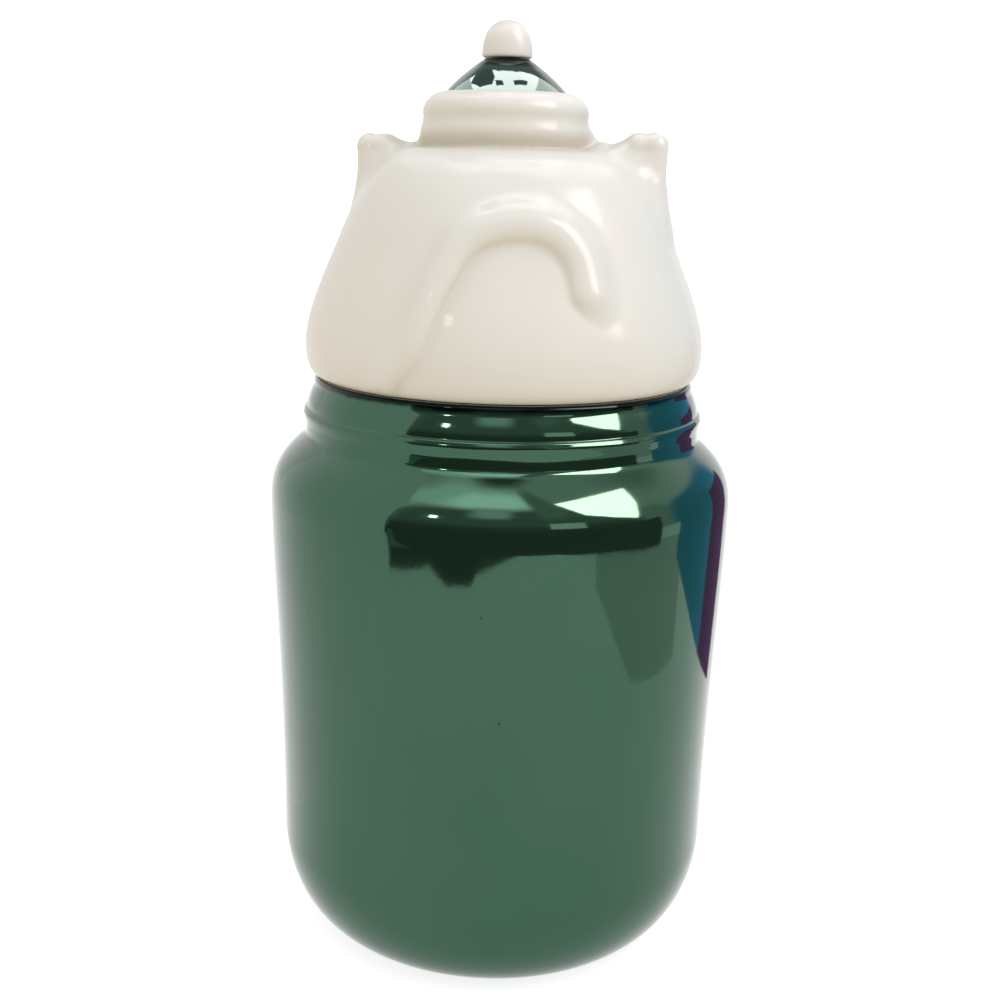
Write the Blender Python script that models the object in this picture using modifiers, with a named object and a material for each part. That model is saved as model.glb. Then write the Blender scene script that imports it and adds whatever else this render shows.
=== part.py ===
"""Figural canister: a pearl-glazed jar, and a hollow lid cast as a sitting cat in a winter hat.

Metres, +Z up. The origin is the middle of the ring that the jar stands on, and the cat faces +Y.
An outline is a list of (radius, height) points that runs down the outer side of a turned shape.
"""

import math

import bmesh
import bpy
from mathutils import Vector

MM = 0.001

# Clearances
GAP = 0.3 * MM                  # left between two pieces that touch
PLUG_CLEARANCE = 2.5 * MM       # between the lid's plug and the jar's bore, all round

# Jar
FOOT_R = 39.0 * MM              # outside of the flat ring that the jar stands on
FOOT_WIDTH = 5.0 * MM
FOOT_HOLLOW = 1.8 * MM          # how far the middle of the base is raised
FLOOR_THICKNESS = 5.0 * MM
CORNER_HEIGHT = 26.0 * MM       # height of the round between foot and side
BODY_R = 57.0 * MM
SHOULDER_R = 59.3 * MM
SHOULDER_HEIGHT = 116.0 * MM
NECK_HEIGHT = 133.5 * MM        # where the neck leaves the shoulder
BORE_R = 43.5 * MM
WALL = 4.5 * MM
NECK_WALL = 4.4 * MM            # at the rim, above the bead
BEAD_HEIGHT = 7.5 * MM
BEAD_PROUD = 2.1 * MM
RIM_HEIGHT = 6.2 * MM
RIM_ROUND = 1.0 * MM

# Lid, with heights above the flat that rests on the jar's rim
LID_EDGE_ROUND = 2.6 * MM       # width of the round at the lid's lower edge
BELLY_R = 50.1 * MM
BELLY_HEIGHT = 7.7 * MM
CHEEK_R = 41.4 * MM
CHEEK_HEIGHT = 34.5 * MM
CROWN_OF_HEAD_R = 20.6 * MM     # the crease where the hat's brim starts
CROWN_OF_HEAD_HEIGHT = 55.7 * MM
LID_WALL = 4.5 * MM
PLUG_WALL = 3.5 * MM
PLUG_DEPTH = 10.5 * MM
CHAMFER = 0.6 * MM              # on hidden lower edges

# Gasket, in a groove round the plug
GASKET_HEIGHT = 5.0 * MM
GASKET_FOOT = 2.0 * MM          # plug left below the groove
GROOVE_DEPTH = 1.5 * MM
GASKET_PROUD = 0.6 * MM         # how far the gasket's body stands out of its groove
LIP_HEIGHT = 1.8 * MM

# Hat
BRIM_HEIGHT = 13.1 * MM
TOP_ROLL_R = 20.4 * MM          # the brim is a cuff of two soft rolls
TOP_ROLL_DROP = 4.4 * MM        # from the brim's top down to the widest part of that roll
WAIST_R = 20.3 * MM             # between the rolls
WAIST_DROP = 6.0 * MM
BRIM_R = 21.0 * MM              # the lower roll
BRIM_DROP = 9.6 * MM
CROWN_R = 15.4 * MM
CROWN_RISE = 8.1 * MM           # height of the slope above its springing line
CROWN_SINK = 2.5 * MM           # depth of its straight foot in the brim
SPRING_DROP = 0.5 * MM          # springing line below the top of the brim
BOSS_R = 5.9 * MM               # collar that the pompom sits on
BOSS_HEIGHT = 0.3 * MM          # above the top of the slope
POMPOM_R = 6.2 * MM
POMPOM_HEIGHT = 8.9 * MM
POMPOM_EDGE = 0.6 * MM
SPIGOT_R = 2.5 * MM
SPIGOT_LENGTH = 3.2 * MM

# Ears
EAR_ROOT_HEIGHT = 42.5 * MM
EAR_SINK = 6.4 * MM             # from the head's outline in to the middle of the ear's root
EAR_HALF_WIDTH = 8.4 * MM
EAR_HALF_DEPTH = 7.5 * MM
EAR_RISE = 17.6 * MM
EAR_FALL = 9.0 * MM             # how far the ear runs down inside the head
EAR_LEAN = 5.0 * MM
EAR_FORWARD = 1.0 * MM          # how far the ears sit in front of the lid's axis
EAR_POINT = 0.8                 # below 1 makes the tip blunt

# Tail, in relief on the back: (distance to the right before the turn, height above the lid's rest, radius)
TAIL_PROUD = 2.8 * MM
TAIL_TURN = 12.0                # degrees that the whole tail is swung to the right of the spine
TAIL_ROUTE = [
    (-25.5 * MM, 3.0 * MM, 2.7 * MM),
    (-20.4 * MM, 11.1 * MM, 3.0 * MM),
    (-14.5 * MM, 25.0 * MM, 3.3 * MM),
    (-8.3 * MM, 34.8 * MM, 3.9 * MM),
    (1.0 * MM, 38.3 * MM, 4.5 * MM),
    (10.0 * MM, 37.2 * MM, 4.7 * MM),
    (16.2 * MM, 31.5 * MM, 4.8 * MM),
    (18.5 * MM, 23.0 * MM, 4.8 * MM),
]

# Face and paws: (distance to the side, height above the lid's rest), then half sizes and how proud
MUZZLE_AT = (4.6 * MM, 28.0 * MM)
MUZZLE_HALF = (6.4 * MM, 5.0 * MM, 4.8 * MM)
MUZZLE_PROUD = 2.2 * MM
NOSE_AT = (0.0 * MM, 32.4 * MM)
NOSE_HALF = (2.4 * MM, 2.4 * MM, 1.7 * MM)
NOSE_PROUD = 2.3 * MM
PAW_AT = (13.0 * MM, 7.4 * MM)
PAW_HALF = (8.6 * MM, 6.8 * MM, 6.6 * MM)
PAW_PROUD = 3.6 * MM

# Fineness
FACETS = 48                     # round every turned piece
POMPOM_FACETS = 32
BALL_FACETS = 16
BALL_RINGS = 10
TAIL_STEPS = 4                  # points along each span of the tail's route

# Heights that follow
FLOOR_TOP = FOOT_HOLLOW + FLOOR_THICKNESS
RIM_TOP = NECK_HEIGHT + BEAD_HEIGHT + RIM_HEIGHT
LID_REST = RIM_TOP + GAP
BRIM_FOOT = LID_REST + CROWN_OF_HEAD_HEIGHT
BRIM_TOP = BRIM_FOOT + BRIM_HEIGHT
SPRING = BRIM_TOP - SPRING_DROP
SOCKET_FLOOR = SPRING - CROWN_SINK - GAP
BOSS_TOP = SPRING + CROWN_RISE + BOSS_HEIGHT
SPIGOT_FLOOR = BOSS_TOP - SPIGOT_LENGTH - GAP

# Radii that follow
PLUG_R = BORE_R - PLUG_CLEARANCE
GROOVE_R = PLUG_R - GROOVE_DEPTH
LAND_R = BORE_R + NECK_WALL - GAP
SOCKET_R = CROWN_R + GAP

COLOURS = {                     # linear red, green, blue, then roughness and metallic
    "jar": ((0.055, 0.125, 0.085), 0.12, 0.9),
    "lid_shell": ((0.80, 0.76, 0.69), 0.15, 0.0),
    "lid_gasket": ((0.72, 0.72, 0.70), 0.55, 0.0),
    "hat_crown": ((0.03, 0.10, 0.075), 0.10, 0.9),
    "pompom": ((0.78, 0.75, 0.66), 0.2, 0.0),
}


def bezier(start, first, second, end, steps):
    """Points along a cubic curve, after its start."""
    points = []
    for step in range(1, steps + 1):
        t = step / steps
        u = 1.0 - t
        weights = (u * u * u, 3 * u * u * t, 3 * u * t * t, t * t * t)
        corners = (start, first, second, end)
        points.append(tuple(sum(w * c[axis] for w, c in zip(weights, corners)) for axis in (0, 1)))
    return points


def arc(centre, radii, start, end, steps):
    """Points along an ellipse between two angles in degrees, both ends included."""
    points = []
    for step in range(steps + 1):
        angle = math.radians(start + (end - start) * step / steps)
        points.append((centre[0] + radii[0] * math.cos(angle), centre[1] + radii[1] * math.sin(angle)))
    return points


def jar_outside():
    """The jar from its rim down to its foot."""
    rim_r = BORE_R + NECK_WALL
    neck_r = rim_r + BEAD_PROUD * 0.66
    side = SHOULDER_HEIGHT - CORNER_HEIGHT
    rise = NECK_HEIGHT - SHOULDER_HEIGHT
    points = arc((rim_r - RIM_ROUND, RIM_TOP - RIM_ROUND), (RIM_ROUND, RIM_ROUND), 90, 0, 2)
    points += arc((rim_r, NECK_HEIGHT + BEAD_HEIGHT * 0.46), (BEAD_PROUD, BEAD_HEIGHT * 0.54), 90, -45, 7)
    points += [(neck_r, NECK_HEIGHT)]
    points += bezier(
        (neck_r, NECK_HEIGHT),
        (SHOULDER_R - (SHOULDER_R - neck_r) * 0.37, SHOULDER_HEIGHT + rise * 0.675),
        (SHOULDER_R, SHOULDER_HEIGHT + rise * 0.49),
        (SHOULDER_R, SHOULDER_HEIGHT),
        8,
    )
    points += bezier(
        (SHOULDER_R, SHOULDER_HEIGHT),
        (SHOULDER_R, SHOULDER_HEIGHT - side * 0.25),
        (BODY_R, CORNER_HEIGHT + side * 0.5),
        (BODY_R, CORNER_HEIGHT),
        5,
    )
    points += arc((FOOT_R, CORNER_HEIGHT), (BODY_R - FOOT_R, CORNER_HEIGHT), 0, -90, 8)[1:]
    return points


def jar_inside():
    """The jar's hollow, from the middle of its floor up to the mouth."""
    wall_r = BODY_R - WALL
    shoulder_r = SHOULDER_R - WALL
    side = SHOULDER_HEIGHT - CORNER_HEIGHT
    throat = NECK_HEIGHT - WALL * 0.8
    rise = throat - SHOULDER_HEIGHT
    points = [(0.0, FLOOR_TOP)]
    points += arc((FOOT_R, CORNER_HEIGHT), (wall_r - FOOT_R, CORNER_HEIGHT - FLOOR_TOP), -90, 0, 5)
    points += bezier(
        (wall_r, CORNER_HEIGHT),
        (wall_r, CORNER_HEIGHT + side * 0.5),
        (shoulder_r, SHOULDER_HEIGHT - side * 0.25),
        (shoulder_r, SHOULDER_HEIGHT - WALL * 0.3),
        3,
    )
    points += bezier(
        (shoulder_r, SHOULDER_HEIGHT - WALL * 0.3),
        (shoulder_r, SHOULDER_HEIGHT + rise * 0.5),
        (BORE_R, throat - rise * 0.2),
        (BORE_R, throat),
        5,
    )
    points += arc((BORE_R + RIM_ROUND, RIM_TOP - RIM_ROUND), (RIM_ROUND, RIM_ROUND), 180, 90, 2)
    return points


def jar_outline():
    """The whole jar: up the hollow, over the rim, down the outside and in under the foot."""
    ring_r = FOOT_R - FOOT_WIDTH
    foot = [(ring_r, 0.0), (ring_r - FOOT_HOLLOW, FOOT_HOLLOW), (0.0, FOOT_HOLLOW)]
    return jar_inside() + jar_outside() + foot


def head_outside():
    """The lid's figure, from the foot of the brim down to the flat that rests on the rim."""
    top = (CROWN_OF_HEAD_R, BRIM_FOOT)
    cheek = (CHEEK_R, LID_REST + CHEEK_HEIGHT)
    belly = (BELLY_R, LID_REST + BELLY_HEIGHT)
    dome = top[1] - cheek[1]
    side = cheek[1] - belly[1]
    edge_r = LAND_R - LID_EDGE_ROUND * 0.2
    points = [top]
    points += bezier(
        top,
        (top[0] + (cheek[0] - top[0]) * 0.543, top[1]),
        (cheek[0] - dome * 0.155, cheek[1] + dome * 0.377),
        cheek,
        9,
    )
    points += bezier(
        cheek,
        (cheek[0] + side * 0.14, cheek[1] - side * 0.34),
        (belly[0], belly[1] + side * 0.29),
        belly,
        7,
    )
    points += bezier(
        belly,
        (belly[0], LID_REST + BELLY_HEIGHT * 0.5),
        (edge_r + LID_EDGE_ROUND * 0.6, LID_REST),
        (edge_r, LID_REST),
        5,
    )
    return points


def brim_outside():
    """The brim's two rolls, from the crown's socket down to the crease on the head."""
    top_roll = (TOP_ROLL_R, BRIM_TOP - TOP_ROLL_DROP)
    waist = (WAIST_R, BRIM_TOP - WAIST_DROP)
    roll = (BRIM_R, BRIM_TOP - BRIM_DROP)
    crease = (CROWN_OF_HEAD_R, BRIM_FOOT)
    points = [(SOCKET_R, BRIM_TOP - SPRING_DROP), (SOCKET_R, BRIM_TOP)]
    points += bezier(
        (SOCKET_R, BRIM_TOP),
        (SOCKET_R + (TOP_ROLL_R - SOCKET_R) * 0.4, BRIM_TOP),
        (TOP_ROLL_R, top_roll[1] + TOP_ROLL_DROP * 0.45),
        top_roll,
        6,
    )
    for start, end, steps in ((top_roll, waist, 2), (waist, roll, 4), (roll, crease, 4)):
        drop = start[1] - end[1]
        points += bezier(start, (start[0], start[1] - drop * 0.4), (end[0], end[1] + drop * 0.4), end, steps)
    return points[:-1]


def plug_outside():
    """The plug below the lid's flat, with the gasket's groove."""
    plug_bottom = LID_REST - PLUG_DEPTH
    groove_bottom = plug_bottom + GASKET_FOOT
    groove_top = groove_bottom + GASKET_HEIGHT
    return [
        (PLUG_R, LID_REST),
        (PLUG_R, groove_top),
        (GROOVE_R, groove_top),
        (GROOVE_R, groove_bottom),
        (PLUG_R, groove_bottom),
        (PLUG_R, plug_bottom + CHAMFER),
        (PLUG_R - CHAMFER, plug_bottom),
        (0.0, plug_bottom),
    ]


def lid_outline():
    """The lid as a solid: crown socket, brim, head, flat and plug."""
    return [(0.0, SOCKET_FLOOR), (SOCKET_R, SOCKET_FLOOR)] + brim_outside() + head_outside() + plug_outside()


def lid_hollow_outline():
    """The lid's hollow: the head's outline a wall's thickness in, and the plug's bore."""
    bore_r = PLUG_R - PLUG_WALL
    roof = SOCKET_FLOOR - LID_WALL
    top_r = SOCKET_R - LID_WALL * 0.5
    cheek = (CHEEK_R - LID_WALL, LID_REST + CHEEK_HEIGHT - LID_WALL * 0.4)
    belly = (BELLY_R - LID_WALL, LID_REST + BELLY_HEIGHT + LID_WALL * 0.4)
    dome = roof - cheek[1]
    side = cheek[1] - belly[1]
    below = LID_REST - PLUG_DEPTH - LID_WALL
    points = [(0.0, roof), (top_r * 0.7, roof)]
    points += bezier(
        (top_r * 0.7, roof),
        (top_r * 1.15, roof),
        (cheek[0] - dome * 0.3, cheek[1] + dome * 0.32),
        cheek,
        6,
    )
    points += bezier(
        cheek,
        (cheek[0] + side * 0.14, cheek[1] - side * 0.34),
        (belly[0], belly[1] + side * 0.29),
        belly,
        4,
    )
    points += bezier(
        belly,
        (belly[0], LID_REST + LID_WALL * 1.2),
        (bore_r + LID_WALL * 0.6, LID_REST + LID_WALL),
        (bore_r, LID_REST + LID_WALL * 0.5),
        4,
    )
    return points + [(bore_r, below), (0.0, below)]


def gasket_outline():
    """The gasket's closed section: a band in the groove and two lips that reach for the bore."""
    bottom = LID_REST - PLUG_DEPTH + GASKET_FOOT + GAP
    top = bottom + GASKET_HEIGHT - 2 * GAP
    inner_r = GROOVE_R + GAP
    band_r = PLUG_R + GASKET_PROUD
    lip_r = BORE_R - GAP
    third = LIP_HEIGHT / 3
    return [
        (inner_r, top),
        (band_r, top),
        (lip_r, top - third),
        (lip_r, top - 2 * third),
        (band_r, top - LIP_HEIGHT),
        (band_r, bottom + LIP_HEIGHT),
        (lip_r, bottom + 2 * third),
        (lip_r, bottom + third),
        (band_r, bottom),
        (inner_r, bottom),
    ]


def crown_outline():
    """The hat's crown: socket for the pompom's spigot, collar, slope and straight foot."""
    foot = SOCKET_FLOOR + GAP
    socket_r = SPIGOT_R + GAP
    start_r = BOSS_R + CHAMFER
    width = CROWN_R - start_r
    top = SPRING + CROWN_RISE
    points = [(0.0, SPIGOT_FLOOR), (socket_r, SPIGOT_FLOOR), (socket_r, BOSS_TOP), (BOSS_R, BOSS_TOP)]
    points += [(start_r, top)]
    points += bezier(
        (start_r, top),
        (start_r + width * 0.33, top - CROWN_RISE * 0.26),
        (CROWN_R - width * 0.27, SPRING + CROWN_RISE * 0.395),
        (CROWN_R, SPRING),
        8,
    )
    points += [(CROWN_R, foot + CHAMFER), (CROWN_R - CHAMFER, foot), (0.0, foot)]
    return points


def pompom_outline():
    """The pompom: a blunt bullet, its flat underside and its spigot."""
    seat = BOSS_TOP + GAP
    top = seat + POMPOM_HEIGHT
    end = SPIGOT_FLOOR + GAP
    points = [(0.0, top)]
    points += bezier(
        (0.0, top),
        (POMPOM_R * 0.72, top),
        (POMPOM_R * 0.99, seat + POMPOM_HEIGHT * 0.58),
        (POMPOM_R, seat + POMPOM_EDGE),
        7,
    )
    points += [(POMPOM_R - POMPOM_EDGE, seat), (SPIGOT_R, seat), (SPIGOT_R, end), (0.0, end)]
    return points


def head_radius(height):
    """The head's outside radius at a height above the lid's rest."""
    outline = head_outside()
    level = LID_REST + height
    for (upper_r, upper), (lower_r, lower) in zip(outline, outline[1:]):
        if lower <= level <= upper and upper > lower:
            return upper_r + (lower_r - upper_r) * (upper - level) / (upper - lower)
    return outline[0][0] if level > outline[0][1] else outline[-1][0]


def on_head(across, height, depth, facing, swing=0.0):
    """A point so deep under the head's surface, across the front (facing 1) or the back (-1)."""
    radius = head_radius(height)
    turn = math.asin(max(-1.0, min(1.0, across / radius))) + math.radians(swing)
    radius -= depth
    return Vector((radius * math.sin(turn), facing * radius * math.cos(turn), LID_REST + height))


def clear_scene():
    """Remove what a new Blender file starts with."""
    for obj in list(bpy.data.objects):
        bpy.data.objects.remove(obj, do_unlink=True)


def new_collection(name):
    """A collection in the scene."""
    collection = bpy.data.collections.new(name)
    bpy.context.scene.collection.children.link(collection)
    return collection


def material_for(name):
    """The piece's own material, from its colour."""
    colour, roughness, metallic = COLOURS[name]
    material = bpy.data.materials.new(name)
    material.use_nodes = True
    shader = material.node_tree.nodes["Principled BSDF"]
    shader.inputs["Base Color"].default_value = (*colour, 1.0)
    shader.inputs["Roughness"].default_value = roughness
    shader.inputs["Metallic"].default_value = metallic
    return material


def add_object(name, mesh, collection):
    """An object that holds a mesh."""
    obj = bpy.data.objects.new(name, mesh)
    collection.objects.link(obj)
    return obj


def turned(name, outline, collection, facets=FACETS, closed=False):
    """A shape turned about Z by a Screw modifier."""
    mesh = bpy.data.meshes.new(name)
    verts = [(radius, 0.0, height) for radius, height in outline]
    edges = [(index, index + 1) for index in range(len(verts) - 1)]
    if closed:
        edges.append((len(verts) - 1, 0))
    mesh.from_pydata(verts, edges, [])
    obj = add_object(name, mesh, collection)
    screw = obj.modifiers.new("turn", "SCREW")
    screw.axis = "Z"
    screw.angle = math.tau
    screw.steps = facets
    screw.render_steps = facets
    screw.use_merge_vertices = True
    screw.merge_threshold = 0.00001
    screw.use_smooth_shade = True
    return obj


def finished(obj):
    """Give a piece its material."""
    obj.data.materials.append(material_for(obj.name))
    return obj


def hidden(obj):
    """Mark an object as a guide that only shapes another."""
    obj.hide_render = True
    obj.display_type = "WIRE"
    return obj


def combine(obj, tool, operation):
    """Join a guide to an object, or cut it out."""
    boolean = obj.modifiers.new(tool.name, "BOOLEAN")
    boolean.operation = operation
    boolean.solver = "EXACT"
    boolean.object = tool


def ball(name, centre, half, collection):
    """An ellipsoid with its half sizes along X, Y and Z."""
    mesh = bpy.data.meshes.new(name)
    shape = bmesh.new()
    bmesh.ops.create_uvsphere(shape, u_segments=BALL_FACETS, v_segments=BALL_RINGS, radius=1.0)
    for vert in shape.verts:
        vert.co = Vector(half) * vert.co + centre
    shape.to_mesh(mesh)
    shape.free()
    mesh.shade_smooth()
    return hidden(add_object(name, mesh, collection))


def ear(name, side, collection):
    """An ear: a ball drawn up to a blunt point that leans out, on the left (-1) or right (1)."""
    root_x = head_radius(EAR_ROOT_HEIGHT) - EAR_SINK
    mesh = bpy.data.meshes.new(name)
    shape = bmesh.new()
    bmesh.ops.create_uvsphere(shape, u_segments=BALL_FACETS, v_segments=BALL_RINGS, radius=1.0)
    for vert in shape.verts:
        height = -EAR_FALL + (EAR_RISE + EAR_FALL) * (vert.co.z + 1.0) / 2.0
        around = Vector((vert.co.x, vert.co.y))
        width = around.length ** EAR_POINT
        if around.length > 0.0:
            around = around.normalized() * width
        lean = EAR_LEAN * max(0.0, height / EAR_RISE) ** 2
        vert.co.x = side * (root_x + lean) + around.x * EAR_HALF_WIDTH
        vert.co.y = around.y * EAR_HALF_DEPTH + EAR_FORWARD
        vert.co.z = LID_REST + EAR_ROOT_HEIGHT + height
    shape.to_mesh(mesh)
    shape.free()
    mesh.shade_smooth()
    return hidden(add_object(name, mesh, collection))


def tail_points():
    """The tail's centre line and radii, on a smooth curve through its route."""
    route = [TAIL_ROUTE[0]] + TAIL_ROUTE + [TAIL_ROUTE[-1]]
    points = []
    for index in range(1, len(route) - 2):
        before, start, end, after = route[index - 1:index + 3]
        for step in range(TAIL_STEPS):
            t = step / TAIL_STEPS
            values = []
            for a, b, c, d in zip(before, start, end, after):
                slope = (c - a) * t + (2 * a - 5 * b + 4 * c - d) * t * t + (3 * b - a - 3 * c + d) * t ** 3
                values.append(b + slope / 2)
            points.append(tuple(values))
    points.append(TAIL_ROUTE[-1])
    return points


def tail(collection):
    """The tail: a tapering tube along the back with a round tip, half sunk in the head."""
    curve = bpy.data.curves.new("tail", "CURVE")
    curve.dimensions = "3D"
    curve.bevel_depth = 1.0
    curve.bevel_resolution = 2
    curve.use_fill_caps = True
    places = []
    for across, height, radius in tail_points():
        places.append((on_head(across, height, radius - TAIL_PROUD, -1, TAIL_TURN), radius))
    last, end_radius = places[-1]
    onward = (last - places[-2][0]).normalized()
    for angle in (30, 60, 80):
        reach = end_radius * math.sin(math.radians(angle))
        places.append((last + onward * reach, end_radius * math.cos(math.radians(angle))))
    spline = curve.splines.new("POLY")
    spline.points.add(len(places) - 1)
    for point, (place, radius) in zip(spline.points, places):
        point.co = (*place, 1.0)
        point.radius = radius
    return hidden(solid_from_curve("tail", curve, collection))


def solid_from_curve(name, curve, collection):
    """A mesh object from a curve, with its caps welded on."""
    source = add_object(name + "_curve", curve, collection)
    bpy.context.view_layer.update()
    evaluated = source.evaluated_get(bpy.context.evaluated_depsgraph_get())
    mesh = bpy.data.meshes.new_from_object(evaluated)
    shape = bmesh.new()
    shape.from_mesh(mesh)
    bmesh.ops.remove_doubles(shape, verts=shape.verts, dist=0.00001)
    bmesh.ops.recalc_face_normals(shape, faces=shape.faces)
    shape.to_mesh(mesh)
    shape.free()
    obj = add_object(name, mesh, collection)
    obj.matrix_world = source.matrix_world
    bpy.data.objects.remove(source, do_unlink=True)
    return obj


def relief_ball(name, at, half, proud, side, collection):
    """A ball sunk in the front of the head so that only part of it stands proud."""
    centre = on_head(at[0], at[1], half[1] - proud, 1)
    centre.x *= side
    return ball(name, centre, half, collection)


def build_jar(parts):
    """The jar."""
    return finished(turned("jar", jar_outline(), parts))


def build_lid(parts, guides):
    """The lid: the turned figure, with ears, tail, face and paws joined on, then hollowed."""
    lid = finished(turned("lid_shell", lid_outline(), parts))
    additions = [tail(guides), relief_ball("nose", NOSE_AT, NOSE_HALF, NOSE_PROUD, 1, guides)]
    for side, word in ((-1, "left"), (1, "right")):
        additions.append(ear("ear_" + word, side, guides))
        additions.append(relief_ball("muzzle_" + word, MUZZLE_AT, MUZZLE_HALF, MUZZLE_PROUD, side, guides))
        additions.append(relief_ball("paw_" + word, PAW_AT, PAW_HALF, PAW_PROUD, side, guides))
    for addition in additions:
        combine(lid, addition, "UNION")
    combine(lid, hidden(turned("lid_hollow", lid_hollow_outline(), guides)), "DIFFERENCE")
    return lid


def build_hat(parts):
    """The crown and the pompom."""
    crown = finished(turned("hat_crown", crown_outline(), parts))
    pompom = finished(turned("pompom", pompom_outline(), parts, POMPOM_FACETS))
    return crown, pompom


def build():
    """The whole canister."""
    clear_scene()
    parts = new_collection("figural_canister")
    guides = new_collection("figural_canister_guides")
    build_jar(parts)
    build_lid(parts, guides)
    finished(turned("lid_gasket", gasket_outline(), parts, closed=True))
    build_hat(parts)


build()
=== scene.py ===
"""Looks of the figural canister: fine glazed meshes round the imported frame, studio light and camera.

Shapes are worked out in millimetres and written in metres. The cat faces +Y, and the camera sees its back.
"""

import math

import bpy
import numpy as np
from mathutils import Matrix, Vector, noise


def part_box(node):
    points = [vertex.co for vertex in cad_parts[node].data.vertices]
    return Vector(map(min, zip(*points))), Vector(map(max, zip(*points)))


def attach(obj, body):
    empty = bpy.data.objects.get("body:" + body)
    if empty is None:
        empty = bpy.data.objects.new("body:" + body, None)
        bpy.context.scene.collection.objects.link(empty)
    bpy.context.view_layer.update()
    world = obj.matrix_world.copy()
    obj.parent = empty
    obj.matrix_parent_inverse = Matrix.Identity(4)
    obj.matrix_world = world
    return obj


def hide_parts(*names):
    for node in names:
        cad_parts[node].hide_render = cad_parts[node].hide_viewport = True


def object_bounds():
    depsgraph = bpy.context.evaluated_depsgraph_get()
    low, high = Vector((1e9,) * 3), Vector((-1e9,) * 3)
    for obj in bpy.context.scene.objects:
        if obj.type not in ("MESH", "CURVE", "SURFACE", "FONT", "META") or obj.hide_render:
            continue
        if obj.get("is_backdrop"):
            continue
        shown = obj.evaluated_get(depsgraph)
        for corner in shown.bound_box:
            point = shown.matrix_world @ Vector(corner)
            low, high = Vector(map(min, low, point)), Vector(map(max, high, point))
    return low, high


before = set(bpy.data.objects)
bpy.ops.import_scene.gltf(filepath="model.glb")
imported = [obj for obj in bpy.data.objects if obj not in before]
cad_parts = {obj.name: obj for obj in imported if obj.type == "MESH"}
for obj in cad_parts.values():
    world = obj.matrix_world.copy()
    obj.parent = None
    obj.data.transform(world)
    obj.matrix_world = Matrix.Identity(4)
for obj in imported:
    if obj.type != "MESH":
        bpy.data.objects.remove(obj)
CAD_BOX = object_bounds()

MM = 0.001


def box_mm(node):
    """A CAD node's lowest and highest corners in millimetres."""
    low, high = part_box(node)
    return [value / MM for value in low], [value / MM for value in high]


# Sizes read from the frame, in millimetres
JAR_HIGH = box_mm("jar")[1]
LID_LOW, LID_HIGH = box_mm("lid_shell")
GASKET_LOW, GASKET_HIGH = box_mm("lid_gasket")
CROWN_LOW, CROWN_HIGH = box_mm("hat_crown")
POMPOM_LOW, POMPOM_HIGH = box_mm("pompom")
GAP = 0.3
RIM_TOP = JAR_HIGH[2]
SHOULDER_R = JAR_HIGH[0]
LID_REST = RIM_TOP + GAP
PLUG_BOTTOM = LID_LOW[2]
BRIM_TOP = LID_HIGH[2]
CROWN_R = CROWN_HIGH[0]
CROWN_FOOT = CROWN_LOW[2]
BOSS_TOP = CROWN_HIGH[2]
POMPOM_R = POMPOM_HIGH[0]
POMPOM_TOP = POMPOM_HIGH[2]
SPIGOT_END = POMPOM_LOW[2]
LIP_R = GASKET_HIGH[0]

# Jar, in millimetres
FOOT_R = 39.0
FOOT_WIDTH = 5.0
FOOT_HOLLOW = 1.8
FOOT_EDGE = 0.4
FLOOR_TOP = 6.8
CORNER_HEIGHT = 26.0
BODY_R = 57.0
SHOULDER_HEIGHT = 116.0
NECK_HEIGHT = 133.5
BORE_R = LIP_R + GAP
WALL = 4.5
RIM_WIDTH = 5.2
RIM_R = BORE_R + RIM_WIDTH
RIM_ROUND = 1.0
NECK_FLARE = 1.6
NECK_R = RIM_R + NECK_FLARE

# How far the cast side strays from a true round, in millimetres, and how fast round it and up it
SWAY = 0.10
SWAY_AROUND = 1.3
SWAY_HEIGHT = 48.0

# Neck with its ridge and bead, as curves run down from the rim: two handles and an end for each,
# as far out from RIM_R and as high over RIM_TOP
NECK_START = (-0.7, -1.0)
NECK_CURVES = [
    ((-0.7, -1.6), (-0.55, -2.2), (-0.35, -2.6)),
    ((0.15, -3.6), (0.75, -5.0), (1.05, -6.2)),
    ((1.15, -6.6), (1.2, -7.0), (1.25, -7.5)),
    ((1.4, -7.7), (1.75, -7.8), (1.85, -8.1)),
    ((1.95, -8.35), (2.15, -8.6), (2.15, -8.9)),
    ((2.15, -9.2), (2.1, -9.5), (2.02, -9.8)),
    ((1.92, -10.3), (1.76, -10.9), (1.68, -11.3)),
    ((1.62, -11.7), (NECK_FLARE, -12.4), (NECK_FLARE, NECK_HEIGHT - RIM_TOP)),
]

# Curl from the neck's foot out onto the shoulder, as far out from NECK_R and as high over NECK_HEIGHT
NECK_CURL = ((0.0, 0.0), (0.02, -0.6), (0.3, -1.0), (0.9, -1.6))

# Handles of the jar's curves, as shares of the height or width that the curve spans
BODY_HANDLE = 0.5
SIDE_HANDLE = 0.25
SHOULDER_TOP_HANDLE = (0.37, 0.665)
SHOULDER_HANDLE = 0.49
THROAT_HANDLE = 0.2

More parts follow.
